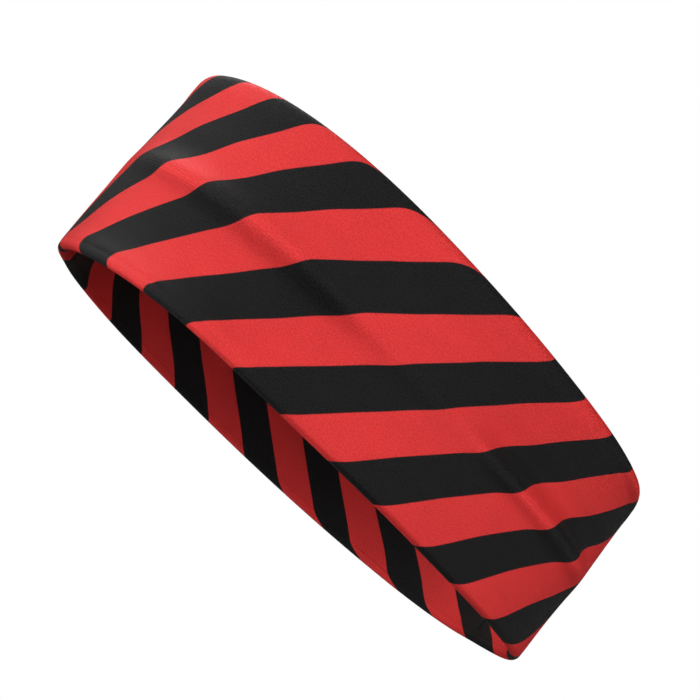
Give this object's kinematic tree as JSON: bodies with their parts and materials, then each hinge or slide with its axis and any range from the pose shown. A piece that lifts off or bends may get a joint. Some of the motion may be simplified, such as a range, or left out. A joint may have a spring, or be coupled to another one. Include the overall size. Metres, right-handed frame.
{
  "type": "sports headband",
  "caption": "Open loop headband of striped stretch knit with soft rolled edges, a lined wall, an elastic rear half and a small blank care label.",
  "frame": {"origin": "middle of the loop's bounding box, on the plane that the band stands on", "axes": "+Z is the axis of the loop and points up from the lower edge; the front half faces -Y, the elastic rear half faces +Y; +X is along the long side of the oval, to the side seam with the care label"},
  "size_m": [0.1902, 0.1414, 0.06],
  "materials": {
    "striped_knit": "satin stretch knit, black and red diagonal bands",
    "striped_lining": "the same knit seen from its matt inner side",
    "absorbent_pad": "soft brushed fleece",
    "elastic": "ribbed woven elastic",
    "thread_dark": "twisted sewing thread",
    "thread_light": "twisted sewing thread",
    "label_tape": "soft satin tape, blank"
  },
  "bodies": {
    "front": {"front_face": "striped_knit", "front_lining": "striped_lining", "front_pad": "absorbent_pad", "front_lower_edge_thread": "thread_dark", "front_upper_edge_thread": "thread_dark", "right_seam_thread": "thread_dark", "left_seam_thread": "thread_dark", "label_stitches": "thread_light"},
    "rear": {"rear_face": "striped_knit", "rear_lining": "striped_lining", "rear_lower_elastic": "elastic", "rear_upper_elastic": "elastic", "rear_lower_edge_thread": "thread_dark", "rear_upper_edge_thread": "thread_dark"},
    "label": {"care_label": "label_tape"}
  },
  "joints": [
    {"name": "rear_stretch", "type": "slide", "parent": "front", "child": "rear", "axis": [0, 1, 0], "range_m": [0, 0.04], "stiffness_N_per_m": 120},
    {"name": "label_flip", "type": "hinge", "parent": "front", "child": "label", "pos_m": [0.09012, 0.0102, 0.023], "axis": [0, 0, -1], "range_deg": [0, 110], "stiffness_Nm_per_rad": 0.0002}
  ]
}
